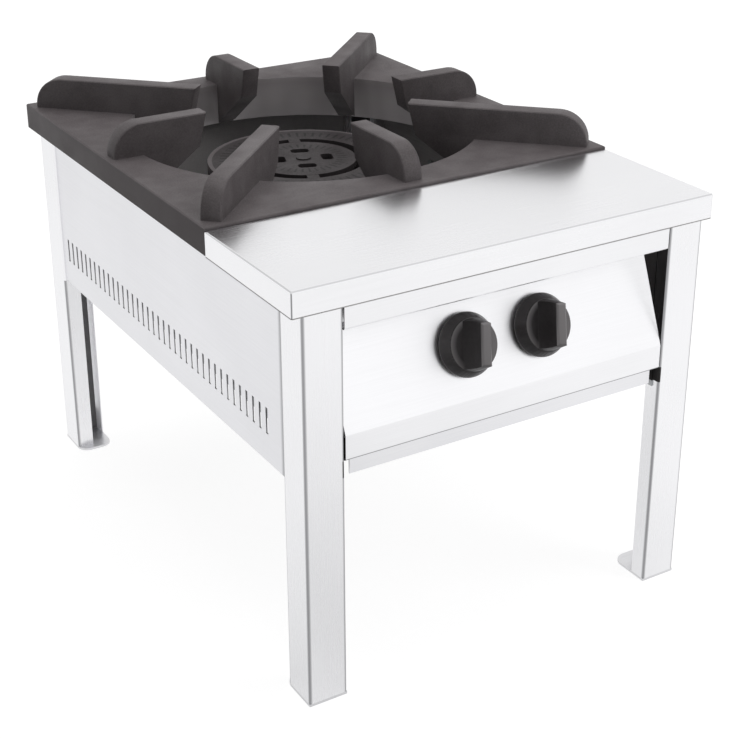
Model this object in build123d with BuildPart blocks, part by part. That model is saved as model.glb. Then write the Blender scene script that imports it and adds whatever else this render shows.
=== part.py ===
from build123d import *
import os
from math import atan2, cos, degrees, hypot, radians, sin, tan

# Floor gas stove: a stainless stand on four folded legs, a worktop strip at the front,
# a cast-iron pan support over a two-ring burner, and a leaning control panel with two taps.
# Millimetres. X runs to the right, Y to the rear, Z up. The origin is on the floor,
# at the centre of the four holes in the foot plates.

# Stand
sheet = 1.5                     # folded stainless sheet
bend_radius = 2.5               # outside radius of its folds
leg_face = 43.5                 # width of each outer face of a leg
leg_lip = 20.0                  # return lip along the open inner corner
foot_thickness = 3.0
foot_reach = 10.0               # how far a foot plate shows past the leg, towards the middle
foot_corner_radius = 14.0       # its two round inner corners
foot_hole_radius = 5.25         # clears an M10 levelling foot or floor bolt

# Worktop
worktop_height = 459.0
worktop_depth = 177.5           # front edge to the pan support
worktop_lip = 27.5              # turned-down edge
worktop_overhang = 1.5          # past the front faces of the legs
worktop_side_radius = 2.0       # along its side edges
ledge_depth = 34.0              # step behind the worktop that carries the pan support
fit_gap = 0.5                   # between the pan support and its neighbours

# Pan support
opening_radius = 208.0
side_rim = 42.0                 # plate beside the opening
front_rim = 45.5                # plate in front of the opening and behind it
support_overhang = 11.0         # past the legs, at the sides and the rear
support_thickness = 6.0
support_rise = 3.2              # its top above the worktop
support_edge_radius = 2.0
skirt_depth = 29.5              # below its top, on the sides and the rear
skirt_wall = 6.0
collar_wall = 6.0
collar_depth = 51.0             # round wall hanging from the opening
rib_height = 37.0
rib_thickness = 22.0
rib_inner_radius = 129.0        # inner end, at the top
rib_inner_lean = 9.0            # how far the inner end falls back at its foot
rib_end_radius = 34.0           # round outer end
rib_edge_bevel = 1.2
rib_edge_gap = 7.5              # outer end to the edge of the plate
rib_corner_gap = 20.0           # outer end to the corner of the plate
rib_root = 2.0                  # how deep a rib is rooted in the plate

# Side and rear panels
panel_recess = 2.5              # behind the outer faces of the legs
panel_height = 217.0            # worktop to the bottom of the panels
panel_flange = 14.0
panel_end_flange = 8.0          # of the rear panel, on the rear legs
rear_flange = 6.0               # top of the rear panel, under the pan support
slot_pitch = 14.3
slot_width = 4.5
slot_height = 29.0
slot_rise = 47.5                # middle of the slots above the bottom of the panel
slot_front_gap = 34.7           # front end of the panel to the first slot
slot_rear_gap = 16.0            # least distance from the last slot to the rear end

# Front rail and control panel
rail_height = 50.0
rail_flange = 15.0
control_height = 188.7          # worktop to the bottom of the control panel
control_foot = 27.2             # upright part, below the lean
control_lean = 21.6             # degrees from upright
control_flange = 14.0
control_end_flange = 8.0
control_seam = 1.2              # beside the rail and the control panel
panel_side_gap = 0.2            # beside the rear panel and the manifold shelf
lip_notch_gap = 0.5             # the front legs' inner lips stop this far above the bend

# Taps and knobs, measured along the tap axis from the face of the control panel
knob_spacing = 91.0
knob_rise = 51.5                # height of the tap axes above the bend, at the panel face
knob_base_radius = 32.8
knob_face_radius = 27.0
knob_base_height = 13.5
knob_rim = 2.0                  # straight part of the skirt
knob_turn = 11.0                # degrees clockwise from upright, with the tap shut
grip_height = 23.5
grip_front_width = 12.0
grip_front_radius = 21.5        # round ends at the front; they widen to the face radius
grip_root_width = 26.0
knob_edge_bevel = 2.0
knob_stand_off = 4.5
push_travel = 4.0
spindle_radius = 4.0
spindle_flat = 1.2              # depth of the flat on the spindle
spindle_in_knob = 20.0
running_gap = 0.05
tap_hole_radius = 6.0
tap_front = 4.0                 # tap body behind the panel face
tap_neck_radius = 9.0
tap_neck_length = 3.0
tap_body_radius = 15.0
tap_body_length = 34.0
tap_outlet_radius = 7.0
tap_outlet_length = 10.0
tap_inlet_radius = 9.0
plunger_radius = 6.0
plunger_length = 8.0
plunger_depth = 14.0            # front of the plunger behind the panel face

# Gas pipes
manifold_radius = 10.65         # half-inch pipe
manifold_bore_radius = 8.0
manifold_setback = 56.0         # behind the front faces of the legs
manifold_drop = 46.0            # below the tap axes at the panel face
manifold_end = 29.5             # closed end past the left tap
manifold_side_gap = 45.5        # rear run to the right legs' inner lips
manifold_bend = 30.0
inlet_length = 30.0             # stub behind the rear panel
inlet_thread_radius = 10.48     # its outer end takes a half-inch union
inlet_thread_length = 20.0
inlet_bore_depth = 60.0         # the pipe is modelled open this far in
inlet_clearance = 1.5
plug_length = 12.0
plug_hex = 24.0                 # across the corners
shelf_front_gap = 8.0
shelf_depth = 78.0
clip_width = 16.0
clip_foot = 15.0
clip_bend_gap = 20.0            # second clip to the bend of the manifold
screw_radius = 2.5
screw_hex = 9.2                 # across the corners
screw_head_height = 3.0
screw_length = 8.0
pipe_radius = 4.0               # copper supply pipes
pipe_bend = 14.0
pipe_lead = 22.0                # straight run at each end

# Burner
burner_drop = 39.0              # worktop to the top of the burner
cap_thickness = 8.0
outer_ring_radius = 114.0
outer_ring_inner_radius = 75.0
burner_wall = 5.0
outer_body_height = 50.0        # burner top to the bottom of the ring
outer_port_count = 36            # flame slots under the rims of the caps
inner_port_count = 16
port_width = 2.5
port_height = 3.0
bridge_count = 4
bridge_width = 14.0
bridge_angle = 70.5
bridge_gap = 0.3
inner_cap_radius = 63.0
inner_body_radius = 55.0
inner_body_height = 62.0        # burner top to the bottom of the pot
inner_hole_width = 14.0         # openings of the inner cap, one in line with each bridge
inner_hole_length = 22.0
inner_hole_circle = 28.5
inner_hole_corner = 5.0
hub_radius = 9.0
hub_height = 1.5
mixer_radius = 17.0             # mixing tubes
mixer_bore_radius = 13.0
mixer_setback = 88.0            # their mouths behind the manifold
outer_mixer_x = -70.0
outer_mixer_rise = 18.0         # axis above the bottom of the ring
inner_mixer_x = 0.0
inner_mixer_drop = 8.0          # axis below the bottom of the pot
mouth_radius = 24.0
mouth_length = 26.0
mouth_plate = 3.0
air_window_count = 3
air_window_width = 12.0
air_window_depth = 9.0
air_window_circle = 13.5
injector_neck_radius = 6.45
injector_hex = 20.0             # across the corners
injector_hex_length = 13.0
injector_tip_radius = 4.0
injector_tip_length = 9.0
shutter_thickness = 1.5
shutter_gap = 0.2
burner_foot_radius = 8.0
bar_width = 30.0
bar_thickness = 4.0
bar_gap = 1.0                   # under the inner mixing tube
bar_tab = 22.0

# Drip tray
tray_sheet = 1.2
tray_height = 16.8
tray_gap = 1.5                  # under the control panel
tray_wall_gap = 21.5            # side walls to the legs' inner lips
tray_flange_gap = 9.5           # side flanges to the legs' inner lips
tray_front_gap = 8.5            # front plate to the legs' inner lips
tray_front_setback = 6.0        # behind the front faces of the legs
tray_rear_gap = 91.0            # rear wall to the outer faces of the rear legs
runner_clearance = 0.2
runner_ledge = 17.0
runner_drop = 22.0
runner_end_gap = 2.0

# Places worked out from those sizes
worktop_width = 2 * (opening_radius + side_rim)
support_depth = 2 * (opening_radius + front_rim)
leg_span_x = worktop_width - 2 * support_overhang
leg_span_y = worktop_depth + support_depth - worktop_overhang - support_overhang
half_x = leg_span_x / 2
half_y = leg_span_y / 2
front_y = -half_y - worktop_overhang
support_front = front_y + worktop_depth
support_top = worktop_height + support_rise
seat_z = support_top - support_thickness
support_half = worktop_width / 2
centre_y = support_front + support_depth / 2
under_worktop = worktop_height - sheet
lip_x = half_x - leg_face       # outer plane of the legs' inner lips
lip_y = half_y - leg_face
panel_x = half_x - panel_recess
panel_y = half_y - panel_recess
panel_bottom = worktop_height - panel_height
slot_centre_z = panel_bottom + slot_rise
slot_room = 2 * lip_y - slot_front_gap - slot_rear_gap - slot_width
slot_count = 1 + int(slot_room / slot_pitch)
slot_row_y = -lip_y + slot_front_gap + (slot_width + (slot_count - 1) * slot_pitch) / 2
rail_bottom = under_worktop - rail_height
control_bottom = worktop_height - control_height
control_bend = control_bottom + control_foot
knob_height = control_bend + knob_rise
lean = radians(control_lean)
knob_y = -half_y + (knob_height - control_bend) * tan(lean)
tap_plane = Plane(origin=(0, knob_y, knob_height), x_dir=(1, 0, 0), z_dir=(0, -cos(lean), sin(lean)))
tap_rear = tap_front + tap_neck_length + tap_body_length
tap_end = tap_rear + tap_outlet_length
taps = {"left": -knob_spacing / 2, "right": knob_spacing / 2}
manifold_y = -half_y + manifold_setback
manifold_z = knob_height - manifold_drop
manifold_left = taps["left"] - manifold_end
manifold_right = lip_x - manifold_side_gap
clip_positions = (0.0, manifold_right - manifold_bend - clip_bend_gap)
burner_top = worktop_height - burner_drop
burner_deck = burner_top - cap_thickness
outer_body_bottom = burner_top - outer_body_height
inner_body_bottom = burner_top - inner_body_height
mixer_front = manifold_y + mixer_setback
outer_mixer_z = outer_body_bottom + outer_mixer_rise
inner_mixer_z = inner_body_bottom - inner_mixer_drop
bar_top = inner_mixer_z - mixer_radius - bar_gap
shelf_top = manifold_z - manifold_radius
inlet_end = panel_y + inlet_length
injector_front = mixer_front - shutter_thickness - 2 * shutter_gap
injector_rear = injector_front - injector_hex_length


def save(piece, name):
    piece.part.label = name
    export_step(piece.part, f"parts/{name}.step")


def sheet_profile(points, thickness, side, radius):
    """A folded strip seen edge on: the line of its outer faces, thickened to one side."""
    with BuildSketch() as strip:
        with BuildLine():
            FilletPolyline(*points, radius=radius)
            offset(amount=thickness, side=side)
        make_face()
    return strip.sketch


def on_tap(x, depth):
    """A point on a tap axis, at a depth behind the face of the control panel."""
    return tap_plane.from_local_coords(Vector(x, 0, -depth))


os.makedirs("parts", exist_ok=True)

corners = {
    "front_left": (-1, -1),
    "front_right": (1, -1),
    "rear_left": (-1, 1),
    "rear_right": (1, 1),
}

# Legs: folded corner posts, open along the inner corner
for name, (side_x, side_y) in corners.items():
    leg_x = side_x * (half_x - leg_face / 2)
    leg_y = side_y * (half_y - leg_face / 2)
    leg_top = under_worktop if side_y < 0 else seat_z
    open_width = leg_face - leg_lip
    with BuildPart() as leg:
        with BuildSketch(Plane((leg_x, leg_y, foot_thickness))):
            Rectangle(leg_face, leg_face)
            fillet(vertices(), bend_radius)
            with BuildSketch(mode=Mode.PRIVATE) as hollow:
                Rectangle(leg_face - 2 * sheet, leg_face - 2 * sheet)
                fillet(hollow.vertices(), bend_radius - sheet)
            add(hollow.sketch, mode=Mode.SUBTRACT)
            with Locations((-side_x * leg_lip / 2, -side_y * leg_lip / 2)):
                Rectangle(open_width, open_width, mode=Mode.SUBTRACT)
        extrude(amount=leg_top - foot_thickness)
        if side_y < 0:
            notch_bottom = control_bend + lip_notch_gap
            with BuildSketch(Plane((side_x * lip_x, -lip_y, notch_bottom))):
                with Locations((0, -leg_lip)):
                    Rectangle(2 * sheet, 2 * (leg_face - leg_lip - sheet))
            extrude(amount=leg_top - notch_bottom, mode=Mode.SUBTRACT)
    save(leg, f"{name}_leg")

    # Foot plate under each leg; its round inner end shows behind or in front of the leg
    foot_length = leg_face + foot_reach
    foot_y = side_y * (half_y - foot_length / 2)
    with BuildPart() as foot:
        with BuildSketch(Plane((leg_x, foot_y, 0))):
            Rectangle(leg_face, foot_length)
            fillet(vertices().sort_by(lambda v: side_y * v.Y)[:2], foot_corner_radius)
            with Locations((0, leg_y - foot_y)):
                Circle(foot_hole_radius, mode=Mode.SUBTRACT)
        extrude(amount=foot_thickness)
    save(foot, f"{name}_foot_plate")

# Worktop: turned down at the front and sides, stepped down behind to carry the pan support
lip_bottom = worktop_height - worktop_lip
step_y = support_front - fit_gap
ledge_half = panel_x - panel_flange - fit_gap
with BuildPart() as worktop:
    with BuildSketch(Plane.YZ):
        add(sheet_profile(
            [(front_y, lip_bottom), (front_y, worktop_height), (step_y, worktop_height)],
            sheet, Side.RIGHT, bend_radius))
        with Locations((step_y - sheet, seat_z)):
            Rectangle(sheet, worktop_height - seat_z, align=(Align.MIN, Align.MIN))
    extrude(amount=support_half, both=True)
    for side in (-1, 1):
        with BuildSketch(Plane.YZ.offset(side * support_half)):
            with Locations((front_y, lip_bottom)):
                Rectangle(step_y - front_y, worktop_lip, align=(Align.MIN, Align.MIN))
            fillet(vertices().sort_by(lambda v: v.X - v.Y)[0], bend_radius)
        extrude(amount=-side * sheet)
        outline = worktop.edges().filter_by_position(Axis.X, side * support_half, side * support_half)
        outer = outline.filter_by(lambda e: e.center().Z > lip_bottom + 1 and e.center().Y < step_y - 1)
        fillet(outer.filter_by(GeomType.LINE).filter_by(Axis.Y), worktop_side_radius)
    with BuildSketch(Plane((0, step_y - sheet, seat_z))):
        Rectangle(2 * ledge_half, ledge_depth, align=(Align.CENTER, Align.MIN))
    extrude(amount=-sheet)
save(worktop, "worktop")


def rib(reach):
    """One upright rib: a flat top, a round outer end, and a foot that slopes to the collar."""
    top = support_top + rib_height
    root = support_top - rib_root
    collar_middle = opening_radius + collar_wall / 2
    inner_foot = rib_inner_radius + rib_inner_lean
    with BuildPart() as blade:
        with BuildSketch(Plane.XZ):
            with BuildLine():
                Line((inner_foot, support_top), (rib_inner_radius, top))
                Line((rib_inner_radius, top), (reach - rib_end_radius, top))
                RadiusArc((reach - rib_end_radius, top), (reach, top - rib_end_radius), rib_end_radius)
                Polyline(
                    (reach, top - rib_end_radius),
                    (reach, root),
                    (collar_middle, root),
                    (collar_middle, support_top - collar_depth),
                    (opening_radius, support_top - collar_depth),
                    (inner_foot, support_top))
            make_face()
        extrude(amount=rib_thickness / 2, both=True)
        sides = blade.edges().filter_by(lambda e: abs(abs(e.center().Y) - rib_thickness / 2) < 0.01)
        chamfer(sides.filter_by(lambda e: e.center().Z > support_top - rib_root / 2), rib_edge_bevel)
    return blade.part


# Pan support: a cast plate with a skirt, a round opening with a hanging collar, and eight ribs
edge_rib = rib(support_half - rib_edge_gap)
corner_rib = rib(hypot(support_half, support_depth / 2) - rib_corner_gap)
corner_angle = degrees(atan2(support_depth, worktop_width))
with BuildPart() as pan_support:
    with BuildSketch(Plane((0, centre_y, seat_z))):
        Rectangle(worktop_width, support_depth)
    extrude(amount=support_thickness)
    with BuildSketch(Plane((0, centre_y, support_top))):
        Rectangle(worktop_width, support_depth)
        with Locations((0, -skirt_wall)):
            Rectangle(worktop_width - 2 * skirt_wall, support_depth, mode=Mode.SUBTRACT)
    extrude(amount=-skirt_depth)
    fillet(pan_support.edges().filter_by(Axis.Z).group_by(Axis.Y)[-1], support_edge_radius)
    fillet(pan_support.faces().sort_by(Axis.Z)[-1].edges(), support_edge_radius)
    with BuildSketch(Plane((0, centre_y, support_top))):
        Circle(opening_radius + collar_wall)
    extrude(amount=-collar_depth)
    with BuildSketch(Plane((0, centre_y, support_top))):
        Circle(opening_radius)
    extrude(amount=-collar_depth, mode=Mode.SUBTRACT)
    for quarter in range(4):
        with Locations(Location((0, centre_y, 0), (0, 0, 90 * quarter))):
            add(edge_rib)
    for angle in (corner_angle, 180 - corner_angle, 180 + corner_angle, -corner_angle):
        with Locations(Location((0, centre_y, 0), (0, 0, angle))):
            add(corner_rib)
save(pan_support, "pan_support")

# Side panels: folded inwards all round, with a row of upright air slots
for name, side in (("left", -1), ("right", 1)):
    inner_x = side * (panel_x - panel_flange)
    outer_x = side * panel_x
    inward = Side.RIGHT if side > 0 else Side.LEFT
    with BuildPart() as side_panel:
        with BuildSketch(Plane.XZ):
            add(sheet_profile(
                [(inner_x, seat_z), (outer_x, seat_z), (outer_x, panel_bottom), (inner_x, panel_bottom)],
                sheet, inward, bend_radius))
        extrude(amount=lip_y, both=True)
        from_inside = Align.MIN if side > 0 else Align.MAX
        from_outside = Align.MAX if side > 0 else Align.MIN
        for end in (-1, 1):
            from_end = Align.MAX if end > 0 else Align.MIN
            with Locations((inner_x, end * lip_y, panel_bottom + sheet)):
                Box(panel_flange - bend_radius, sheet, seat_z - panel_bottom - 2 * sheet,
                    align=(from_inside, from_end, Align.MIN))
            with Locations((outer_x, end * lip_y, panel_bottom + bend_radius)):
                Box(bend_radius, sheet, seat_z - panel_bottom - 2 * bend_radius,
                    align=(from_outside, from_end, Align.MIN))
        with BuildSketch(Plane.YZ.offset(outer_x)):
            with Locations((slot_row_y, slot_centre_z)):
                with GridLocations(slot_pitch, slot_height, slot_count, 1):
                    Rectangle(slot_width, slot_height)
        extrude(amount=-side * sheet, mode=Mode.SUBTRACT)
    save(side_panel, f"{name}_side_panel")

# Rear panel: its top flange turns out under the pan support; the gas pipe comes through it
panel_half = lip_x - panel_side_gap
control_half = lip_x - control_seam
with BuildPart() as rear_panel:
    with BuildSketch(Plane.YZ):
        add(sheet_profile(
            [(panel_y + rear_flange, seat_z - sheet), (panel_y, seat_z - sheet),
             (panel_y, panel_bottom), (panel_y - panel_flange, panel_bottom)],
            sheet, Side.RIGHT, bend_radius))
    extrude(amount=panel_half, both=True)
    for side in (-1, 1):
        with Locations((side * panel_half, panel_y - sheet / 2, panel_bottom + bend_radius)):
            Box(sheet, panel_end_flange, seat_z - panel_bottom - 3 * bend_radius,
                align=(Align.MAX if side > 0 else Align.MIN, Align.MAX, Align.MIN))
    with BuildSketch(Plane.XZ.offset(-panel_y)):
        with Locations((manifold_right, manifold_z)):
            Circle(manifold_radius + inlet_clearance)
    extrude(amount=sheet, mode=Mode.SUBTRACT)
save(rear_panel, "rear_panel")

# Front rail, flush with the legs and hung from the worktop
with BuildPart() as front_rail:
    with BuildSketch(Plane.YZ):
        add(sheet_profile(
            [(-half_y + rail_flange, under_worktop), (-half_y, under_worktop),
             (-half_y, rail_bottom), (-half_y + rail_flange, rail_bottom)],
            sheet, Side.LEFT, bend_radius))
    extrude(amount=control_half, both=True)
save(front_rail, "front_rail")

# Control panel: upright at its foot, leaning back above, drilled for the two taps
lean_top_y = -half_y + (under_worktop - control_bend) * tan(lean)
with BuildPart() as control_panel:
    with BuildSketch(Plane.YZ):
        add(sheet_profile(
            [(-half_y + control_flange, control_bottom), (-half_y, control_bottom), (-half_y, control_bend),
             (lean_top_y, under_worktop), (lean_top_y + control_flange, under_worktop)],
            sheet, Side.RIGHT, bend_radius))
    extrude(amount=control_half, both=True)
    for side in (-1, 1):
        with Locations((side * control_half, -half_y + sheet / 2, control_bottom + bend_radius)):
            Box(sheet, control_end_flange, control_bend - control_bottom - 2 * bend_radius,
                align=(Align.MAX if side > 0 else Align.MIN, Align.MIN, Align.MIN))
    with BuildSketch(tap_plane):
        with Locations(*[(x, 0) for x in taps.values()]):
            Circle(tap_hole_radius)
    extrude(amount=-2 * sheet, mode=Mode.SUBTRACT)
save(control_panel, "control_panel")

# Gas manifold: a bent pipe from the taps to the inlet stub behind the rear panel
with BuildPart() as gas_manifold:
    with BuildLine() as manifold_path:
        FilletPolyline(
            (manifold_left, manifold_y, manifold_z),
            (manifold_right, manifold_y, manifold_z),
            (manifold_right, inlet_end, manifold_z),
            radius=manifold_bend)
    with BuildSketch(Plane((manifold_left, manifold_y, manifold_z), z_dir=(1, 0, 0))):
        Circle(manifold_radius)
    sweep(path=manifold_path.wires()[0])
    with BuildSketch(Plane.XZ.offset(-inlet_end)):
        with Locations((manifold_right, manifold_z)):
            Circle(2 * manifold_radius)
            Circle(inlet_thread_radius, mode=Mode.SUBTRACT)
    extrude(amount=inlet_thread_length, mode=Mode.SUBTRACT)
    with BuildSketch(Plane.XZ.offset(-inlet_end)):
        with Locations((manifold_right, manifold_z)):
            Circle(manifold_bore_radius)
    extrude(amount=inlet_bore_depth, mode=Mode.SUBTRACT)
save(gas_manifold, "gas_manifold")

# Hexagon plug on the closed end of the manifold
with BuildPart() as manifold_plug:
    with BuildSketch(Plane((manifold_left, manifold_y, manifold_z), z_dir=(-1, 0, 0))):
        RegularPolygon(plug_hex / 2, 6, rotation=30)
    extrude(amount=plug_length)
save(manifold_plug, "manifold_plug")

# Shelf under the manifold, between the front legs
shelf_front = -half_y + shelf_front_gap + 2 * sheet
screw_y = manifold_radius + sheet + clip_foot / 2
screw_places = [(x, manifold_y + side * screw_y) for x in clip_positions for side in (-1, 1)]
with BuildPart() as manifold_shelf:
    with BuildSketch(Plane.XZ.offset(-shelf_front)):
        add(sheet_profile(
            [(-panel_half, shelf_top - panel_flange), (-panel_half, shelf_top),
             (panel_half, shelf_top), (panel_half, shelf_top - panel_flange)],
            sheet, Side.RIGHT, bend_radius))
    extrude(amount=-shelf_depth)
    with BuildSketch(Plane((0, 0, shelf_top))):
        with Locations(*screw_places):
            Circle(screw_radius + running_gap)
    extrude(amount=-2 * sheet, mode=Mode.SUBTRACT)
save(manifold_shelf, "manifold_shelf")

# Two saddle clips that hold the manifold down
clip_inner = manifold_radius + running_gap
clip_outer = clip_inner + sheet
with BuildPart() as manifold_clips:
    for x in clip_positions:
        with BuildSketch(Plane.YZ.offset(x - clip_width / 2)):
            with Locations((manifold_y, manifold_z)):
                Circle(clip_outer)
            with Locations((manifold_y, shelf_top)):
                Rectangle(2 * clip_outer, manifold_radius, align=(Align.CENTER, Align.MIN))
                Rectangle(2 * (clip_outer + clip_foot), sheet, align=(Align.CENTER, Align.MIN))
            with Locations((manifold_y, manifold_z)):
                Circle(clip_inner, mode=Mode.SUBTRACT)
            with Locations((manifold_y, shelf_top - sheet)):
                Rectangle(2 * clip_inner, manifold_radius + sheet, align=(Align.CENTER, Align.MIN),
                          mode=Mode.SUBTRACT)
            with Locations((manifold_y, shelf_top)):
                Rectangle(4 * clip_foot, 2 * manifold_radius, align=(Align.CENTER, Align.MAX),
                          mode=Mode.SUBTRACT)
        extrude(amount=clip_width)
    with BuildSketch(Plane((0, 0, shelf_top))):
        with Locations(*screw_places):
            Circle(screw_radius + running_gap)
    extrude(amount=2 * sheet, mode=Mode.SUBTRACT)
save(manifold_clips, "manifold_clips")

with BuildPart() as clip_screws:
    with BuildSketch(Plane((0, 0, shelf_top + sheet))):
        with Locations(*screw_places):
            RegularPolygon(screw_hex / 2, 6)
    extrude(amount=screw_head_height)
    with BuildSketch(Plane((0, 0, shelf_top + sheet))):
        with Locations(*screw_places):
            Circle(screw_radius)
    extrude(amount=-screw_length)
save(clip_screws, "clip_screws")


def tap_section(x, depth):
    """A plane across a tap axis, facing the user, at a depth behind the panel face."""
    return Plane(origin=on_tap(x, depth), x_dir=(1, 0, 0), z_dir=tap_plane.z_dir)


def knob_section(x, height):
    """A plane across a knob, turned with its handle, at a height above the panel face."""
    turn = radians(knob_turn)
    across = tap_plane.x_dir * cos(turn) - tap_plane.y_dir * sin(turn)
    return Plane(origin=on_tap(x, -height), x_dir=across, z_dir=tap_plane.z_dir)


def grip(x):
    """The raised handle of a knob: a bar with hollow flanks and round ends."""
    foot = knob_section(x, knob_stand_off + knob_base_height)
    root = grip_root_width / 2
    front = grip_front_width / 2
    hollow = (root - front) / 4
    waist = front + hollow
    waist_height = grip_height / 2 - hollow / 2
    with BuildPart() as bar:
        with BuildSketch(Plane(origin=foot.origin, x_dir=foot.x_dir, z_dir=-foot.y_dir)):
            with BuildLine():
                Line((-root, -knob_rim), (root, -knob_rim))
                Line((root, -knob_rim), (root, 0))
                ThreePointArc((root, 0), (waist, waist_height), (front, grip_height))
                Line((front, grip_height), (-front, grip_height))
                ThreePointArc((-front, grip_height), (-waist, waist_height), (-root, 0))
                Line((-root, 0), (-root, -knob_rim))
            make_face()
        extrude(amount=knob_face_radius, both=True)
        with BuildSketch(foot.offset(-knob_rim)):
            Circle(knob_face_radius)
        extrude(amount=knob_rim + grip_height, taper=grip_taper, mode=Mode.INTERSECT)
        tip = bar.faces().sort_by(lambda f: f.center().dot(tap_plane.z_dir))[-1]
        chamfer(tip.edges(), knob_edge_bevel)
    return bar.part


# Taps, one behind each knob: body, plunger, spindle and knob
skirt_height = knob_base_height - knob_rim
skirt_taper = degrees(atan2(knob_base_radius - knob_face_radius, skirt_height))
grip_taper = degrees(atan2(knob_face_radius - grip_front_radius, grip_height + knob_rim))
chamber_length = plunger_length + push_travel + running_gap
for name, x in taps.items():
    with BuildPart() as tap_body:
        with BuildSketch(tap_section(x, tap_front)):
            Circle(tap_neck_radius)
        extrude(amount=-tap_neck_length)
        with BuildSketch(tap_section(x, tap_front + tap_neck_length)):
            Circle(tap_body_radius)
        extrude(amount=-tap_body_length)
        with BuildSketch(tap_section(x, tap_rear)):
            Circle(tap_outlet_radius)
        extrude(amount=-tap_outlet_length)
        with BuildSketch(Plane((x, manifold_y, manifold_z))):
            Circle(tap_inlet_radius)
        extrude(amount=3 * manifold_radius)
        with BuildSketch(Plane.YZ.offset(x)):
            with Locations((manifold_y, manifold_z)):
                Circle(manifold_radius + running_gap)
        extrude(amount=2 * tap_inlet_radius, both=True, mode=Mode.SUBTRACT)
        with BuildSketch(tap_section(x, 0)):
            Circle(spindle_radius + running_gap)
        extrude(amount=-plunger_depth, mode=Mode.SUBTRACT)
        with BuildSketch(tap_section(x, plunger_depth)):
            Circle(plunger_radius + running_gap)
        extrude(amount=-chamber_length, mode=Mode.SUBTRACT)
    save(tap_body, f"{name}_tap_body")

    with BuildPart() as tap_plunger:
        with BuildSketch(tap_section(x, plunger_depth)):
            Circle(plunger_radius)
        extrude(amount=-plunger_length)
    save(tap_plunger, f"{name}_tap_plunger")

    flat_drop = spindle_radius - spindle_flat
    with BuildPart() as spindle:
        with BuildSketch(tap_section(x, plunger_depth)):
            Circle(spindle_radius)
        extrude(amount=plunger_depth + knob_stand_off)
        with BuildSketch(knob_section(x, knob_stand_off)):
            Circle(spindle_radius)
            with Locations((0, -flat_drop)):
                Rectangle(2 * spindle_radius, spindle_radius, align=(Align.CENTER, Align.MAX),
                          mode=Mode.SUBTRACT)
        extrude(amount=spindle_in_knob)
    save(spindle, f"{name}_spindle")

    knob_grip = grip(x)
    with BuildPart() as knob:
        with BuildSketch(knob_section(x, knob_stand_off)):
            Circle(knob_base_radius)
        extrude(amount=knob_rim)
        with BuildSketch(knob_section(x, knob_stand_off + knob_rim)):
            Circle(knob_base_radius)
        extrude(amount=skirt_height, taper=skirt_taper)
        add(knob_grip)
        with BuildSketch(knob_section(x, knob_stand_off)):
            Circle(spindle_radius + running_gap)
            with Locations((0, -flat_drop - running_gap)):
                Rectangle(3 * spindle_radius, spindle_radius, align=(Align.CENTER, Align.MAX),
                          mode=Mode.SUBTRACT)
        extrude(amount=spindle_in_knob + running_gap, mode=Mode.SUBTRACT)
    save(knob, f"{name}_knob")


def mixer_section(x, y, z):
    """A plane across a mixing tube, facing the rear."""
    return Plane(origin=(x, y, z), x_dir=(1, 0, 0), z_dir=(0, 1, 0))


def mixer(x, z, end, bore_end):
    """A mixing tube along Y: the outside and the bore, each a turned solid."""
    along = Plane(origin=(x, mixer_front, z), x_dir=(0, 1, 0), z_dir=(1, 0, 0))
    axis = Axis((x, 0, z), (0, 1, 0))
    throat = mouth_radius - mixer_radius + mixer_bore_radius
    with BuildPart() as outside:
        with BuildSketch(along):
            Polygon(
                (0, 0), (0, mouth_radius), (2 * mouth_plate, mouth_radius), (mouth_length, mixer_radius),
                (end - mixer_front, mixer_radius), (end - mixer_front, 0), align=None)
        revolve(axis=axis)
    with BuildPart() as bore:
        with BuildSketch(along):
            Polygon(
                (mouth_plate, 0), (mouth_plate, throat), (2 * mouth_plate, throat),
                (mouth_length, mixer_bore_radius), (bore_end - mixer_front, mixer_bore_radius),
                (bore_end - mixer_front, 0), align=None)
        revolve(axis=axis)
        with BuildSketch(mixer_section(x, mixer_front, z)):
            Circle(injector_neck_radius + running_gap)
            with PolarLocations(air_window_circle, air_window_count):
                Rectangle(air_window_depth, air_window_width)
        extrude(amount=mouth_plate)
    return outside.part, bore.part


# Outer burner: a ring-shaped trough on four feet, with its mixing tube
foot_circle_radius = (outer_ring_radius + outer_ring_inner_radius) / 2
bar_offset = foot_circle_radius * cos(radians(45))
outer_tube, outer_bore = mixer(
    outer_mixer_x, outer_mixer_z,
    centre_y - foot_circle_radius + mixer_bore_radius,
    centre_y - outer_ring_inner_radius)
with BuildPart() as outer_burner_body:
    with BuildSketch(Plane((0, centre_y, outer_body_bottom))):
        Circle(outer_ring_radius)
        Circle(outer_ring_inner_radius, mode=Mode.SUBTRACT)
    extrude(amount=burner_deck - outer_body_bottom)
    with BuildSketch(Plane((0, centre_y, bar_top))):
        with GridLocations(2 * bar_offset, 2 * bar_offset, 2, 2):
            Circle(burner_foot_radius)
    extrude(amount=outer_body_bottom - bar_top)
    add(outer_tube)
    with BuildSketch(Plane((0, centre_y, outer_body_bottom + burner_wall))):
        Circle(outer_ring_radius - burner_wall)
        Circle(outer_ring_inner_radius + burner_wall, mode=Mode.SUBTRACT)
    extrude(amount=burner_deck - outer_body_bottom, mode=Mode.SUBTRACT)
    add(outer_bore, mode=Mode.SUBTRACT)
save(outer_burner_body, "outer_burner_body")

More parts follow.
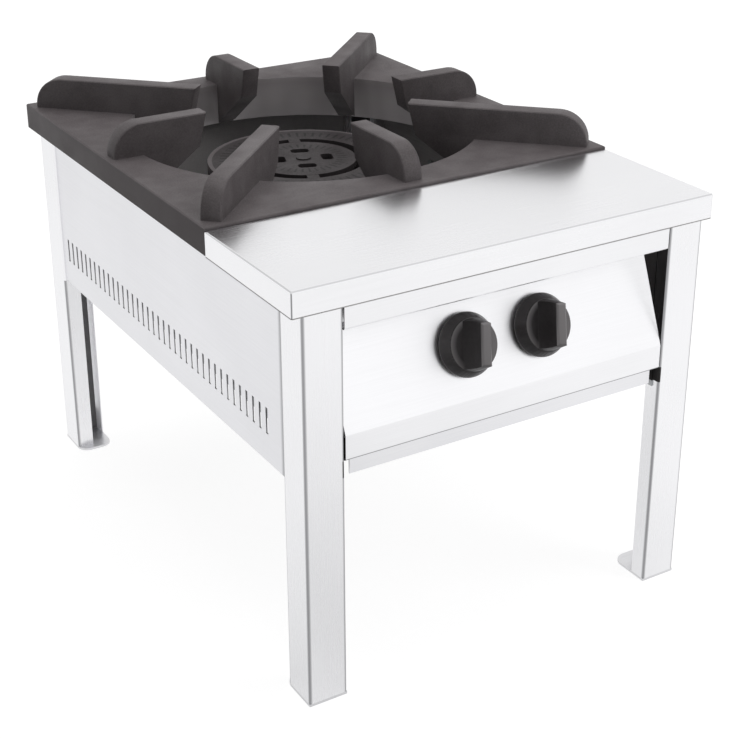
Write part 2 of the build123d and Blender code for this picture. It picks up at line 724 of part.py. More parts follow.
# Ring cap of the outer burner, with four bridges to the inner cap and flame slots under its rim
bridge_inner = inner_cap_radius + bridge_gap
bridge_length = outer_ring_inner_radius + burner_wall - bridge_inner
with BuildPart() as outer_burner_cap:
    with BuildSketch(Plane((0, centre_y, burner_deck))):
        Circle(outer_ring_radius)
        Circle(outer_ring_inner_radius, mode=Mode.SUBTRACT)
        with PolarLocations(bridge_inner + bridge_length / 2, bridge_count, start_angle=bridge_angle):
            Rectangle(bridge_length, bridge_width)
    extrude(amount=cap_thickness)
    with BuildSketch(Plane((0, centre_y, burner_deck))):
        with PolarLocations(outer_ring_radius, outer_port_count):
            Rectangle(3 * burner_wall, port_width)
    extrude(amount=port_height, mode=Mode.SUBTRACT)
save(outer_burner_cap, "outer_burner_cap")

# Inner burner: a pot fed from below by its own mixing tube, standing on the two bars
inner_tube, inner_bore = mixer(inner_mixer_x, inner_mixer_z, centre_y, centre_y)
with BuildPart() as inner_burner_body:
    add(inner_tube)
    with BuildSketch(Plane((0, centre_y, inner_mixer_z - mixer_radius))):
        Circle(mixer_radius + burner_wall)
    extrude(amount=inner_body_bottom - inner_mixer_z + mixer_radius)
    with BuildSketch(Plane((0, centre_y, inner_body_bottom))):
        Circle(inner_body_radius)
    extrude(amount=burner_deck - inner_body_bottom)
    with BuildSketch(Plane((0, centre_y, bar_top))):
        with Locations((0, -bar_offset)):
            Rectangle(mixer_radius, mixer_radius)
        with Locations((0, (bar_offset + mixer_radius) / 2 + mixer_radius / 4)):
            Rectangle(mixer_radius, bar_offset - mixer_radius / 2)
    extrude(amount=mixer_radius / 2)
    with BuildSketch(Plane((0, centre_y, inner_body_bottom + burner_wall))):
        Circle(inner_body_radius - burner_wall)
    extrude(amount=burner_deck - inner_body_bottom, mode=Mode.SUBTRACT)
    add(inner_bore, mode=Mode.SUBTRACT)
    with BuildSketch(Plane((0, centre_y, inner_mixer_z))):
        Circle(mixer_bore_radius)
    extrude(amount=inner_body_bottom - inner_mixer_z + 2 * burner_wall, mode=Mode.SUBTRACT)
save(inner_burner_body, "inner_burner_body")

# Disc cap of the inner burner, with a hub and four openings
with BuildPart() as inner_burner_cap:
    with BuildSketch(Plane((0, centre_y, burner_deck))):
        Circle(inner_cap_radius)
        with PolarLocations(inner_hole_circle, bridge_count, start_angle=bridge_angle):
            RectangleRounded(inner_hole_width, inner_hole_length, inner_hole_corner, mode=Mode.SUBTRACT)
    extrude(amount=cap_thickness)
    with BuildSketch(Plane((0, centre_y, burner_top))):
        Circle(hub_radius)
    extrude(amount=hub_height)
    with BuildSketch(Plane((0, centre_y, burner_deck))):
        with PolarLocations(inner_cap_radius, inner_port_count):
            Rectangle(6 * burner_wall, port_width)
    extrude(amount=port_height, mode=Mode.SUBTRACT)
save(inner_burner_cap, "inner_burner_cap")

# At each mixing tube: an air shutter, an injector and the copper pipe from its tap
burners = {
    "outer": (outer_mixer_x, outer_mixer_z, taps["left"]),
    "inner": (inner_mixer_x, inner_mixer_z, taps["right"]),
}
for name, (x, z, tap_x) in burners.items():
    with BuildPart() as air_shutter:
        with BuildSketch(mixer_section(x, mixer_front - shutter_gap - shutter_thickness, z)):
            Circle(mouth_radius)
            Circle(injector_neck_radius + running_gap, mode=Mode.SUBTRACT)
            with PolarLocations(air_window_circle, air_window_count):
                Rectangle(air_window_depth, air_window_width, mode=Mode.SUBTRACT)
        extrude(amount=shutter_thickness)
    save(air_shutter, f"{name}_air_shutter")

    neck_length = mixer_front + mouth_plate - injector_front
    with BuildPart() as injector:
        with BuildSketch(mixer_section(x, injector_rear, z)):
            RegularPolygon(injector_hex / 2, 6)
        extrude(amount=injector_hex_length)
        with BuildSketch(mixer_section(x, injector_front, z)):
            Circle(injector_neck_radius)
        extrude(amount=neck_length)
        with BuildSketch(mixer_section(x, injector_front + neck_length, z)):
            Circle(injector_tip_radius)
        extrude(amount=injector_tip_length)
    save(injector, f"{name}_injector")

    pipe_end = Vector(x, injector_rear, z)
    with BuildPart() as supply_pipe:
        with BuildLine() as pipe_path:
            FilletPolyline(
                on_tap(tap_x, tap_end),
                on_tap(tap_x, tap_end + pipe_lead),
                pipe_end - Vector(0, pipe_lead, 0),
                pipe_end,
                radius=pipe_bend)
        with BuildSketch(tap_section(tap_x, tap_end)):
            Circle(pipe_radius)
        sweep(path=pipe_path.wires()[0])
    save(supply_pipe, f"{name}_supply_pipe")

# Two flat bars between the side panels carry the burner
bar_half = panel_x - sheet
for name, side in (("front", -1), ("rear", 1)):
    with BuildPart() as burner_bar:
        with BuildSketch(Plane.XZ.offset(-centre_y - side * bar_offset)):
            add(sheet_profile(
                [(-bar_half, bar_top + bar_tab), (-bar_half, bar_top - bar_thickness),
                 (bar_half, bar_top - bar_thickness), (bar_half, bar_top + bar_tab)],
                bar_thickness, Side.LEFT, 1.5 * bar_thickness))
        extrude(amount=bar_width / 2, both=True)
    save(burner_bar, f"{name}_burner_bar")

# Drip tray: a shallow pan hung by its side flanges, with a front plate to pull it by
tray_front = -half_y + tray_front_setback
tray_top = control_bottom - tray_gap
tray_bottom = tray_top - tray_height
tray_half_width = lip_x - tray_wall_gap
tray_length = leg_span_y - tray_front_setback - tray_rear_gap
with BuildPart() as drip_tray:
    with BuildSketch(Plane((0, tray_front, tray_bottom))):
        Rectangle(2 * tray_half_width, tray_length, align=(Align.CENTER, Align.MIN))
    extrude(amount=tray_height)
    with BuildSketch(Plane((0, tray_front, tray_top))):
        Rectangle(2 * (lip_x - tray_flange_gap), tray_length, align=(Align.CENTER, Align.MIN))
    extrude(amount=-tray_sheet)
    with BuildSketch(Plane((0, tray_front, tray_bottom))):
        Rectangle(2 * (lip_x - tray_front_gap), tray_sheet, align=(Align.CENTER, Align.MIN))
    extrude(amount=tray_height)
    with BuildSketch(Plane((0, tray_front + tray_sheet, tray_bottom + tray_sheet))):
        Rectangle(2 * (tray_half_width - tray_sheet), tray_length - 2 * tray_sheet,
                  align=(Align.CENTER, Align.MIN))
    extrude(amount=tray_height, mode=Mode.SUBTRACT)
save(drip_tray, "drip_tray")

# Runners between the front and rear legs, under the flanges of the tray
runner_top = tray_top - tray_sheet - runner_clearance
runner_front = tray_front + tray_sheet + runner_end_gap
runner_rear = panel_y - sheet / 2 - panel_end_flange - fit_gap
for name, side in (("left", -1), ("right", 1)):
    inward = Side.LEFT if side < 0 else Side.RIGHT
    with BuildPart() as tray_runner:
        with BuildSketch(Plane.XZ.offset(-runner_front)):
            add(sheet_profile(
                [(side * (lip_x - runner_ledge), runner_top), (side * lip_x, runner_top),
                 (side * lip_x, runner_top - runner_drop)],
                sheet, inward, bend_radius))
        extrude(amount=runner_front - runner_rear)
    save(tray_runner, f"{name}_tray_runner")
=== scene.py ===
# %% [markdown]
# # A floor gas stove, dressed for its photograph
# The stove is a stainless stand with a cast-iron pan support, a two-ring burner and two black knobs.
# Its solids were modelled elsewhere and come in as a fixed frame. Here they get their finishes, the pan
# support and knobs get the soft edges that real ones have, and a small studio is set up around them.
# Everything is in metres: X to the right, Y to the rear, Z up, and the floor at zero.

# %% Load the frame
import math
import bmesh
import bpy
from mathutils import Matrix, Vector


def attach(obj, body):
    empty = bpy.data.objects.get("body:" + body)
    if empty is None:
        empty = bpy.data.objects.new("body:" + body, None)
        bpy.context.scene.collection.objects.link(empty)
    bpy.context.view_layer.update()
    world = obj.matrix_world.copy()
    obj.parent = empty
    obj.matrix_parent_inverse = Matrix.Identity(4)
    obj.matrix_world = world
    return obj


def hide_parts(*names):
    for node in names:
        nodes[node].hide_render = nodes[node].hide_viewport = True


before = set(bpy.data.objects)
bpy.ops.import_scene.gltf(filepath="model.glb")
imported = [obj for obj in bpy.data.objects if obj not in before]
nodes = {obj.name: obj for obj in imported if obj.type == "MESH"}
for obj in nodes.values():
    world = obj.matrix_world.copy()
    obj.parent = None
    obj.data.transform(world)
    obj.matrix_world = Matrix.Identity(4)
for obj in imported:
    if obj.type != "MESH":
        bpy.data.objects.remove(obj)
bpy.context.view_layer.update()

# %% [markdown]
# ## The camera
# The picture is a three-quarter view from the front left, a little above the worktop. The camera's place
# could be guessed by eye, but here it was worked out from the corners of the stove in the picture.
# The picture was cropped a little off centre, and a small vertical shift of the lens says the same.

# %% Camera
picture_side = 739
focal_pixels = 1552.39
crop_centre = 300.0
sensor = 36.0
camera_place = Vector((-0.8442, -1.4589, 1.0012))
camera_turn = math.radians(-31.075)
camera_tilt = math.radians(23.457)
camera_roll = math.radians(-0.159)

back = Vector((
    math.sin(camera_turn) * math.cos(camera_tilt),
    -math.cos(camera_turn) * math.cos(camera_tilt),
    math.sin(camera_tilt)))
lens = bpy.data.cameras.new("studio_camera")
lens.sensor_width = sensor
lens.lens = focal_pixels / picture_side * sensor
lens.shift_y = (crop_centre - picture_side / 2) / picture_side
camera = bpy.data.objects.new("studio_camera", lens)
camera.matrix_world = (
    Matrix.Translation(camera_place)
    @ (-back).to_track_quat("-Z", "Y").to_matrix().to_4x4()
    @ Matrix.Rotation(camera_roll, 4, "Z"))
bpy.context.scene.collection.objects.link(camera)
bpy.context.scene.camera = camera
print("lens", round(lens.lens, 2), "mm, shift", round(lens.shift_y, 4))

# %% [markdown]
# ## Three helpers for finishes
# Colours are easiest to choose as the hex values of a paint program. Blender's shaders count in linear
# light, so one function turns the one into the other. A second small function adds a node to a material,
# sets it up and links its inputs, which keeps each recipe short enough to read. A third starts a new
# material with no nodes in it.

# %% Colour and node helpers
def linear(colour):
    parts = [int(colour[i:i + 2], 16) / 255 for i in (1, 3, 5)]
    return [c / 12.92 if c <= 0.04045 else ((c + 0.055) / 1.055) ** 2.4 for c in parts] + [1.0]


def add(tree, kind, inputs=None, **settings):
    made = tree.nodes.new("ShaderNode" + kind)
    for name, value in settings.items():
        setattr(made, name, value)
    for name, value in (inputs or {}).items():
        if isinstance(value, bpy.types.NodeSocket):
            tree.links.new(value, made.inputs[name])
        else:
            made.inputs[name].default_value = value
    return made


def finish_named(name):
    finish = bpy.data.materials.new(name)
    finish.use_nodes = True
    finish.node_tree.nodes.clear()
    return finish, finish.node_tree


print("white is", [round(c, 3) for c in linear("#ffffff")])

# %% [markdown]
# ## Where the finish is dull and shade is painted
# Sheet that nobody polishes stays dull: the insides of the panels, the tray and the hollow legs, and the
# cut edges. There its colour is also made darker, which is painted shade. Each is picked out by its place.
# A box mask measures how far a point is from the middle of a box, divides that by half the box's size, and
# gives one where the largest of the three results is under one.
# The legs are mirror images, so their masks first fold the stove over: the larger of X and minus X is the
# same on both sides, and one box then serves for two legs, or for all four if Y is folded too.
# The table gives the middle and the half size of each box in millimetres, and its fold.

# %% Box mask
mm = 0.001
leg_middle = (217.25, 314.25, 230)
unfolded = (1, 1, 1)
left_on_right = (-1, 1, 1)
four_on_one = (-1, -1, 1)
boxes = {
    "leg_hollow": (leg_middle, (21, 21, 300), four_on_one),
    "rear_lip_end": ((196, 316, 230), (3, 3, 300), left_on_right),
    "front_lip_edge": ((219, -293, 370), (1, 2, 100), left_on_right),
    "leg_beside_tray": ((196, -326, 262), (2, 12, 9), left_on_right),
    "panel_inside": ((0, 0, 350), (235.8, 332.8, 300), unfolded),
    "worktop_lip_foot": ((0, 0, 400), (300, 400, 32.7), unfolded),
    "tray_inside": ((0, 0, 300), (400, 329, 45.5), unfolded),
    "runner_end": ((190, -330, 262), (20, 40, 10), left_on_right),
    "fold_at_panel": ((0, 292.5, 400), (300, 6, 158), unfolded),
}


def largest_part(tree, vector):
    parts = add(tree, "SeparateXYZ", {0: vector})
    level = add(tree, "Math", {0: parts.outputs[0], 1: parts.outputs[1]}, operation="MAXIMUM")
    return add(tree, "Math", {0: level.outputs[0], 1: parts.outputs[2]}, operation="MAXIMUM").outputs[0]


def box_mask(tree, place, box):
    middle, half, fold = boxes[box]
    mirrored = add(tree, "VectorMath", {0: place.outputs["Object"], 1: fold}, operation="MULTIPLY")
    folded = add(tree, "VectorMath", {
        0: place.outputs["Object"], 1: mirrored.outputs[0]}, operation="MAXIMUM")
    offset = add(tree, "VectorMath", {0: folded.outputs[0], 1: Vector(middle) * mm}, operation="SUBTRACT")
    distance = add(tree, "VectorMath", {0: offset.outputs[0]}, operation="ABSOLUTE")
    share = add(tree, "VectorMath", {0: distance.outputs[0], 1: Vector(half) * mm}, operation="DIVIDE")
    most = largest_part(tree, share.outputs[0])
    return add(tree, "Math", {0: most, 1: 1.0}, operation="LESS_THAN").outputs[0]


print(len(boxes), "boxes ready")

# %% [markdown]
# Each dull, shaded place is now one small function, which a finish calls when it is made. Most are a single
# box. Inside a leg only the walls that look to the front get painted shade, a little less on the lower
# half, and the end of the lip at a rear leg's opening gets none. The part of a front leg beside the tray
# and the cut edge of its lip get painted shade as well. The control panel is dull and painted dark, as
# shade, wherever it looks sideways or to the rear.

# %% Dull and shaded places
front_slant = 0.5
# Painted shade inside a leg is thinner below the first height and full above the second.
shade_thins, shade_full = 240 * mm, 260 * mm
thin_shade = 0.85
sideways_slant = 0.4


def leg_hollows(tree, place):
    return box_mask(tree, place, "leg_hollow")


def inside_legs(tree, place):
    facing = add(tree, "SeparateXYZ", {0: place.outputs["Normal"]})
    looks_front = add(tree, "Math", {0: facing.outputs[1], 1: -front_slant}, operation="LESS_THAN")
    parts = add(tree, "SeparateXYZ", {0: place.outputs["Object"]})
    wall_shade = add(tree, "MapRange", {
        "Value": parts.outputs[2], "From Min": shade_thins, "From Max": shade_full, "To Min": thin_shade})
    shaded_wall = add(tree, "Math", {0: looks_front.outputs[0], 1: wall_shade.outputs[0]}, operation="MULTIPLY")
    hollows = add(tree, "Math", {
        0: leg_hollows(tree, place), 1: box_mask(tree, place, "rear_lip_end")}, operation="SUBTRACT")
    deep = add(tree, "Math", {0: hollows.outputs[0], 1: shaded_wall.outputs[0]}, operation="MULTIPLY")
    edges = add(tree, "Math", {
        0: box_mask(tree, place, "leg_beside_tray"),
        1: box_mask(tree, place, "front_lip_edge")}, operation="MAXIMUM")
    return add(tree, "Math", {0: deep.outputs[0], 1: edges.outputs[0]}, operation="MAXIMUM").outputs[0]


def inside_panels(tree, place):
    return box_mask(tree, place, "panel_inside")


def under_lip(tree, place):
    return box_mask(tree, place, "worktop_lip_foot")


def inside_front(tree, place):
    facing = add(tree, "SeparateXYZ", {0: place.outputs["Normal"]})
    sideways = add(tree, "Math", {0: facing.outputs[0]}, operation="ABSOLUTE")
    dull_and_shaded = add(tree, "Math", {0: sideways.outputs[0], 1: facing.outputs[1]}, operation="MAXIMUM")
    return add(tree, "Math", {0: dull_and_shaded.outputs[0], 1: sideways_slant}, operation="GREATER_THAN").outputs[0]


def inside_tray(tree, place):
    return box_mask(tree, place, "tray_inside")


def runner_ends(tree, place):
    return box_mask(tree, place, "runner_end")


print("seven masks ready")

# %% [markdown]
# Four more masks paint a grey line instead of a whole face: on the folds it is a painted dark reflection,
# and in the crease and the seam it is painted shade. A leg is a square tube with one corner open, so once
# the stove is folded over, a point's distance from the nearest corner of a 43.5 mm square finds the folds.
# Where a rear leg meets the side panel, the panel's edge hides the fold.
# On the worktop a flat face points straight along one axis, so the largest part of its normal is one, and
# on a fold it is smaller. The folds beside the top are faint, and the upright corners, where two lips meet,
# are dark.
# Shade is painted in the crease between a front leg and the side panel, which stands 2.5 mm back, and in
# the seam between the control panel and the tray, 270 mm above the floor.

# %% Line masks
leg_width = 43.5 * mm
fold_edge, fold_core = leg_width - 3.3 * mm, leg_width - 1.3 * mm
flat_normal, bent_normal = 0.97, 0.85
level_fold, upright_fold = 0.3, 0.1
faint_line = 0.4
crease_edge, crease_core = -284 * mm, -290 * mm
seam_height = 270 * mm
seam_edge, seam_core = 2.6 * mm, 1.6 * mm


def leg_folds(tree, place):
    one_leg = add(tree, "VectorMath", {0: place.outputs["Object"]}, operation="ABSOLUTE")
    offset = add(tree, "VectorMath", {
        0: one_leg.outputs[0], 1: Vector(leg_middle) * mm}, operation="SUBTRACT")
    reach = add(tree, "VectorMath", {0: offset.outputs[0]}, operation="ABSOLUTE")
    parts = add(tree, "SeparateXYZ", {0: reach.outputs[0]})
    both = add(tree, "Math", {0: parts.outputs[0], 1: parts.outputs[1]}, operation="ADD")
    line = add(tree, "MapRange", {"Value": both.outputs[0], "From Min": fold_edge, "From Max": fold_core})
    at_panel = box_mask(tree, place, "fold_at_panel")
    open_part = add(tree, "Math", {0: 1.0, 1: at_panel}, operation="SUBTRACT")
    return add(tree, "Math", {0: line.outputs[0], 1: open_part.outputs[0]}, operation="MULTIPLY").outputs[0]


def worktop_folds(tree, place):
    facing = add(tree, "VectorMath", {0: place.outputs["Normal"]}, operation="ABSOLUTE")
    most = largest_part(tree, facing.outputs[0])
    line = add(tree, "MapRange", {"Value": most, "From Min": flat_normal, "From Max": bent_normal})
    parts = add(tree, "SeparateXYZ", {0: facing.outputs[0]})
    depth = add(tree, "MapRange", {
        "Value": parts.outputs[2], "From Min": level_fold, "From Max": upright_fold, "To Min": faint_line})
    return add(tree, "Math", {0: line.outputs[0], 1: depth.outputs[0]}, operation="MULTIPLY").outputs[0]


def panel_creases(tree, place):
    parts = add(tree, "SeparateXYZ", {0: place.outputs["Object"]})
    return add(tree, "MapRange", {
        "Value": parts.outputs[1], "From Min": crease_edge, "From Max": crease_core}).outputs[0]


def front_seam(tree, place):
    parts = add(tree, "SeparateXYZ", {0: place.outputs["Object"]})
    offset = add(tree, "Math", {0: parts.outputs[2], 1: seam_height}, operation="SUBTRACT")
    distance = add(tree, "Math", {0: offset.outputs[0]}, operation="ABSOLUTE")
    return add(tree, "MapRange", {
        "Value": distance.outputs[0], "From Min": seam_edge, "From Max": seam_core}).outputs[0]


print("four line masks ready")

# %% [markdown]
# ## Brushed stainless steel
# The stand, worktop and panels are satin stainless sheet. A grinding belt leaves fine parallel scratches,
# which spread a reflection across them and make the sheet look soft and pale. The scratches are a noise
# pattern stretched along the belt's direction. Real ones are about 0.1 mm wide. These are drawn 1 mm wide,
# because finer ones can't be seen from a step away. A second, wide noise makes the faint clouds that
# handling leaves.
# Where the mask of dull places is one, the sheet is dull instead, and its darker colour there is painted
# shade. A line mask paints grey lines on the brushed part, which are painted shade and painted reflection,
# and a bare mask marks where the belt never went, so the sheet is as rough there as it came from the mill.

# %% Brushed steel recipe
scratch_width = 1.0 * mm
scratch_length = 90 * mm
scratch_depth = 0.1 * mm
scratch_strength = 0.002
cloud_size = 120 * mm
steel_noise_low, steel_noise_high = 0.7, 1.3
polish_spread = 0.02
# The grey of the painted lines: a dark reflection on the folds, and shade in the crease and the seam.
line_grey = "#8e8e91"
mill_roughness = 0.85
dull_roughness, dull_ior = 0.9, 1.2
dust_gain = 1.3


def brushed_steel(name, dark, light, grain, roughness, dull_and_shaded=None, shade_colour=None, lines=None, bare=None):
    finish, tree = finish_named(name)
    place = add(tree, "TexCoord")
    stretch = [1 / scratch_length if axis == grain else 1 / scratch_width for axis in "XYZ"]
    scratch_place = add(tree, "Mapping", {"Vector": place.outputs["Object"], "Scale": stretch})
    scratches = add(tree, "TexNoise", {"Vector": scratch_place.outputs[0], "Scale": 1.0, "Detail": 3.0})
    clouds = add(tree, "TexNoise", {
        "Vector": place.outputs["Object"], "Scale": 1 / cloud_size, "Detail": 2.0})
    both = add(tree, "Math", {0: scratches.outputs[0], 1: clouds.outputs[0]}, operation="ADD")
    tone = add(tree, "MapRange", {
        "Value": both.outputs[0], "From Min": steel_noise_low, "From Max": steel_noise_high})
    colour = add(tree, "MixRGB", {
        "Fac": tone.outputs[0], "Color1": linear(dark), "Color2": linear(light)})
    if lines:
        colour = add(tree, "MixRGB", {
            "Fac": lines(tree, place), "Color1": colour.outputs[0], "Color2": linear(line_grey)})
    rough = add(tree, "MapRange", {
        "Value": tone.outputs[0], "To Min": roughness - polish_spread, "To Max": roughness + polish_spread})
    if bare:
        rough = add(tree, "MapRange", {
            "Value": bare(tree, place), "To Min": rough.outputs[0], "To Max": mill_roughness})
    grooves = add(tree, "Bump", {
        "Height": scratches.outputs[0], "Strength": scratch_strength, "Distance": scratch_depth})
    surface = add(tree, "BsdfPrincipled", {
        "Base Color": colour.outputs[0], "Roughness": rough.outputs[0], "Normal": grooves.outputs[0],
        "Metallic": 1.0})
    if dull_and_shaded:
        paler = [c * dust_gain for c in linear(shade_colour)]
        patches = add(tree, "MixRGB", {"Fac": tone.outputs[0], "Color1": linear(shade_colour), "Color2": paler})
        inside = add(tree, "BsdfPrincipled", {
            "Base Color": patches.outputs[0], "Roughness": dull_roughness, "IOR": dull_ior})
        surface = add(tree, "MixShader", {
            0: dull_and_shaded(tree, place), 1: surface.outputs[0], 2: inside.outputs[0]})
    add(tree, "OutputMaterial", {"Surface": surface.outputs[0]})
    return finish


# Each colour for the dull places below is painted shade.
finishes = {
    "leg_steel": brushed_steel(
        "brushed_stainless_upright", "#f2f2f4", "#f7f7f9", "Z", 0.28,
        dull_and_shaded=inside_legs, shade_colour="#484646", lines=leg_folds, bare=leg_hollows),
    "foot_steel": brushed_steel("brushed_stainless_foot", "#d8d8da", "#e6e6e8", "X", 0.34),
    "worktop_steel": brushed_steel(
        "brushed_stainless_worktop", "#f2f2f4", "#f7f7f9", "X", 0.26,
        dull_and_shaded=under_lip, shade_colour="#d0cece", lines=worktop_folds),
    "panel_steel": brushed_steel(
        "brushed_stainless_panel", "#e3e3e6", "#eaeaed", "Y", 0.3,
        dull_and_shaded=inside_panels, shade_colour="#9c9999", lines=panel_creases),
    "control_steel": brushed_steel(
        "brushed_stainless_front", "#f3f3f5", "#f8f8fa", "X", 0.36,
        dull_and_shaded=inside_front, shade_colour="#2b2929", lines=front_seam),
    "tray_steel": brushed_steel(
        "brushed_stainless_tray", "#e9e9ec", "#f0f0f2", "X", 0.34,
        dull_and_shaded=inside_tray, shade_colour="#5a5858", lines=front_seam),
    "spindle_steel": brushed_steel("turned_steel", "#b9b9bb", "#d3d3d4", "X", 0.3),
}
print("made", len(finishes), "brushed steels")

# %% [markdown]
# ## Zinc-plated steel, brass and copper
# The runners, burner bars, pipe and clips inside are plain steel with a thin coat of zinc, which sets in
# soft grey patches. The taps and injectors are turned brass, and the supply pipes are drawn copper, a
# little dulled by heat. All three are metals with one slow noise for the patches, so one recipe serves. A
# mask paints the front ends of the runners dark, which is painted shade.

# %% Patchy metals recipe
patch_noise_low, patch_noise_high = 0.35, 0.65
patch_spread = 0.08
# The dark on the runner ends is painted shade.
end_shade_black = "#262424"
end_shade_roughness, end_shade_ior = 0.7, 1.3


def patchy_metal(name, dark, light, patch, roughness, shaded_ends=None):
    finish, tree = finish_named(name)
    place = add(tree, "TexCoord")
    patches = add(tree, "TexNoise", {"Vector": place.outputs["Object"], "Scale": 1 / patch, "Detail": 4.0})
    tone = add(tree, "MapRange", {
        "Value": patches.outputs[0], "From Min": patch_noise_low, "From Max": patch_noise_high})
    colour = add(tree, "MixRGB", {
        "Fac": tone.outputs[0], "Color1": linear(dark), "Color2": linear(light)})
    rough = add(tree, "MapRange", {
        "Value": tone.outputs[0], "To Min": roughness - patch_spread, "To Max": roughness + patch_spread})
    surface = add(tree, "BsdfPrincipled", {
        "Base Color": colour.outputs[0], "Roughness": rough.outputs[0], "Metallic": 1.0})
    if shaded_ends:
        end_shade = add(tree, "BsdfPrincipled", {
            "Base Color": linear(end_shade_black), "Roughness": end_shade_roughness, "IOR": end_shade_ior})
        surface = add(tree, "MixShader", {
            0: shaded_ends(tree, place), 1: surface.outputs[0], 2: end_shade.outputs[0]})
    add(tree, "OutputMaterial", {"Surface": surface.outputs[0]})
    return finish


finishes["zinc_steel"] = patchy_metal(
    "zinc_plated_steel", "#9a9c9e", "#b6b8ba", 9 * mm, 0.42, shaded_ends=runner_ends)
finishes["brass"] = patchy_metal("turned_brass", "#a98742", "#c9a85c", 14 * mm, 0.3)
finishes["copper"] = patchy_metal("drawn_copper", "#8a4f38", "#b87358", 18 * mm, 0.36)
print("made zinc, brass and copper")

# %% [markdown]
# ## Cast iron
# The pan support and burners are sand-cast iron with a thin matt black finish. Sand leaves a fine grain,
# and the mould leaves slow swells under it. The grain is drawn 1.6 mm wide, because the real one is too
# fine to show. Iron that is coated like this doesn't mirror as bare metal does, so it is not metallic: a
# dark colour and a broad dull sheen do better. The low IOR keeps that sheen for surfaces seen at a slant.
# The recipe takes a function for marks, a list of masks with the colour that each one paints.

# %% Cast iron recipe
grain_size = 1.6 * mm
swell_size = 30 * mm
cast_grain, turned_grain = 0.25 * mm, 0.1 * mm
grain_strength = 0.35
iron_noise_low, iron_noise_high = 0.75, 1.25
iron_spread = 0.06
iron_ior = 1.3


def cast_iron(name, dark, light, roughness, grain_depth, marks=None):
    finish, tree = finish_named(name)
    place = add(tree, "TexCoord")
    grain = add(tree, "TexNoise", {
        "Vector": place.outputs["Object"], "Scale": 1 / grain_size, "Detail": 3.0})
    swells = add(tree, "TexNoise", {
        "Vector": place.outputs["Object"], "Scale": 1 / swell_size, "Detail": 2.0})
    both = add(tree, "Math", {0: grain.outputs[0], 1: swells.outputs[0]}, operation="ADD")
    tone = add(tree, "MapRange", {
        "Value": both.outputs[0], "From Min": iron_noise_low, "From Max": iron_noise_high})
    colour = add(tree, "MixRGB", {
        "Fac": tone.outputs[0], "Color1": linear(dark), "Color2": linear(light)})
    for mask, paint in (marks(tree, place) if marks else []):
        colour = add(tree, "MixRGB", {"Fac": mask, "Color1": colour.outputs[0], "Color2": linear(paint)})
    rough = add(tree, "MapRange", {
        "Value": tone.outputs[0], "To Min": roughness + iron_spread, "To Max": roughness - iron_spread})
    pits = add(tree, "Bump", {
        "Height": grain.outputs[0], "Strength": grain_strength, "Distance": grain_depth})
    surface = add(tree, "BsdfPrincipled", {
        "Base Color": colour.outputs[0], "Roughness": rough.outputs[0], "Normal": pits.outputs[0],
        "IOR": iron_ior})
    add(tree, "OutputMaterial", {"Surface": surface.outputs[0]})
    return finish


finishes["burner_iron"] = cast_iron("raw_cast_iron", "#393536", "#474344", 0.65, cast_grain)
print("made the burner iron")

# %% [markdown]
# ## Rings around the burner
# Several marks go round the burner, so they are found by their distance from its middle, and a ring is one
# between two radii. The first is on the pan support: the collar around the opening is painted a paler grey,
# palest at its lower edge, which is painted light. Only faces that look at the middle count, so that the
# ribs keep their colour. The two side edges of the plate are painted a little paler too.

# %% Pan support iron
burner_middle = (0, 93.5 * mm, 0)
collar_inside, collar_outside = 204 * mm, 208.6 * mm
collar_top, collar_foot = 455 * mm, 411 * mm
inward_reach = 150 * mm
plate_side = 249.3 * mm
# The two collar greys are painted light.
collar_grey, collar_foot_light, side_grey = "#878283", "#d2cdce", "#6c6768"


def level_offset(tree, place):
    offset = add(tree, "VectorMath", {0: place.outputs["Object"], 1: burner_middle}, operation="SUBTRACT")
    return add(tree, "VectorMath", {0: offset.outputs[0], 1: (1, 1, 0)}, operation="MULTIPLY").outputs[0]


def ring(tree, radius, inner, outer):
    over = add(tree, "Math", {0: radius, 1: inner}, operation="GREATER_THAN")
    under = add(tree, "Math", {0: radius, 1: outer}, operation="LESS_THAN")
    return add(tree, "Math", {0: over.outputs[0], 1: under.outputs[0]}, operation="MULTIPLY").outputs[0]


def support_marks(tree, place):
    offset = level_offset(tree, place)
    radius = add(tree, "VectorMath", {0: offset}, operation="LENGTH").outputs["Value"]
    wall = ring(tree, radius, collar_inside, collar_outside)
    outwards = add(tree, "VectorMath", {0: place.outputs["Normal"], 1: offset}, operation="DOT_PRODUCT")
    inwards = add(tree, "Math", {0: outwards.outputs["Value"], 1: -inward_reach}, operation="LESS_THAN")
    collar = add(tree, "Math", {0: wall, 1: inwards.outputs[0]}, operation="MULTIPLY")
    parts = add(tree, "SeparateXYZ", {0: place.outputs["Object"]})
    low = add(tree, "MapRange", {
        "Value": parts.outputs[2], "From Min": collar_top, "From Max": collar_foot})
    lit_collar_foot = add(tree, "Math", {0: collar.outputs[0], 1: low.outputs[0]}, operation="MULTIPLY")
    sideways = add(tree, "Math", {0: parts.outputs[0]}, operation="ABSOLUTE")
    edge = add(tree, "Math", {0: sideways.outputs[0], 1: plate_side}, operation="GREATER_THAN")
    return [(collar.outputs[0], collar_grey), (lit_collar_foot.outputs[0], collar_foot_light), (edge.outputs[0], side_grey)]


finishes["pan_support_iron"] = cast_iron(
    "matt_cast_iron", "#524d4e", "#615c5d", 0.55, cast_grain, support_marks)
print("made the pan support iron")

# %% [markdown]
# ## Burner tops
# The two burner tops are turned on a lathe and have rows of fine sawn slots around them, where the small
# flames hold the big ones. Seen from the front the slots are only faint dark ticks, so they are drawn in
# the colour. A point's angle around the middle is counted in slot pitches. Ping-pong folds that count into
# a zigzag, which is near zero on each slot, and a ring keeps the slots between two radii.
# The outer edge is drawn a paler grey, which is a painted highlight along the rim, and one more ring.

# %% Burner top iron
slot_share = 0.3
slot_black = "#171515"
